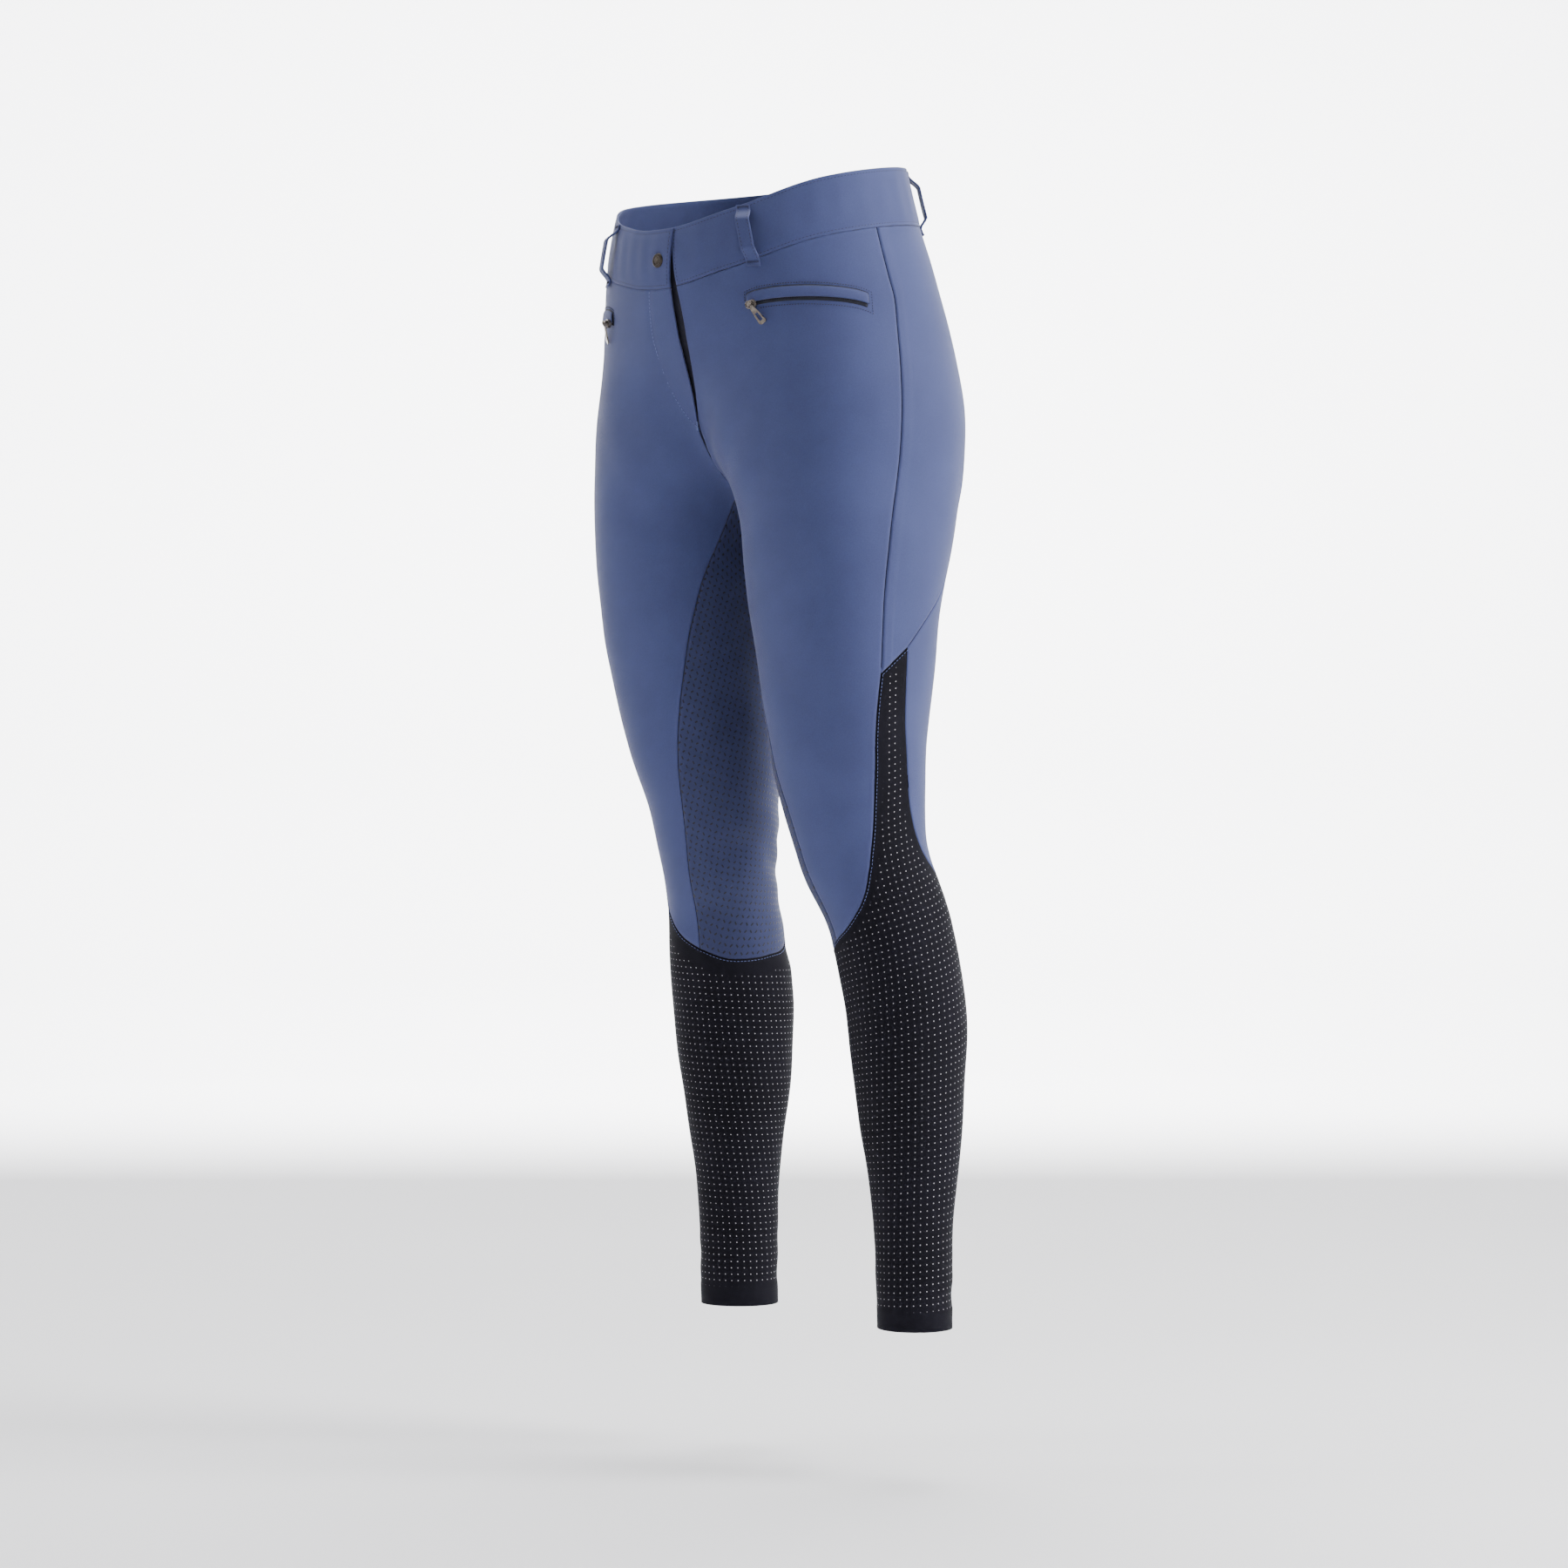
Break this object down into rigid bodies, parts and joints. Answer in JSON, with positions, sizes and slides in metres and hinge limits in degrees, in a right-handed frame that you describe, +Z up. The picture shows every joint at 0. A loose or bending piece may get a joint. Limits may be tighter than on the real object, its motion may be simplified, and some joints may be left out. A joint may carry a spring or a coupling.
{
  "type": "riding breeches",
  "caption": "Full-seat riding breeches, empty in their worn shape, with belt-looped waistband, lapped fly, welted zip pockets and close mesh lower legs",
  "frame": {"origin": "middle of the waist, level with the waistband at the sides of the body", "axes": "+Z up, -Y the wearer's front, +X the wearer's left"},
  "size_m": [0.3534, 0.247, 0.9568],
  "materials": {
    "twill": "matt stretch twill",
    "grip_twill": "matt twill with a printed silicone grip",
    "mesh": "matt fine mesh knit",
    "tape": "matt woven tape",
    "silver": "bright cast metal",
    "bronze": "dark plated metal"
  },
  "bodies": {
    "garment": {"front_left": "twill", "side_left": "twill", "seat_left": "grip_twill", "mesh_left": "mesh", "waistband_left": "twill", "welt_left": "twill", "zip_left": "tape", "slider_left": "silver", "loop_front_left": "twill", "loop_back_left": "twill", "front_right": "twill", "side_right": "twill", "seat_right": "grip_twill", "mesh_right": "mesh", "waistband_right": "twill", "welt_right": "twill", "zip_right": "tape", "slider_right": "silver", "loop_front_right": "twill", "loop_back_right": "twill", "loop_centre_back": "twill", "fly_guard": "tape", "snap_cap": "bronze"},
    "pull_left": {"pull_left": "silver"},
    "pull_right": {"pull_right": "silver"}
  },
  "joints": [
    {"name": "pull_left_hinge", "type": "hinge", "parent": "garment", "child": "pull_left", "pos_m": [0.08898, -0.0933, -0.09766], "axis": [-0.7737, -0.3039, -0.5559], "range_deg": [0, 120]},
    {"name": "pull_right_hinge", "type": "hinge", "parent": "garment", "child": "pull_right", "pos_m": [-0.08898, -0.0933, -0.09766], "axis": [-0.7737, 0.3039, 0.5559], "range_deg": [0, 120]}
  ]
}
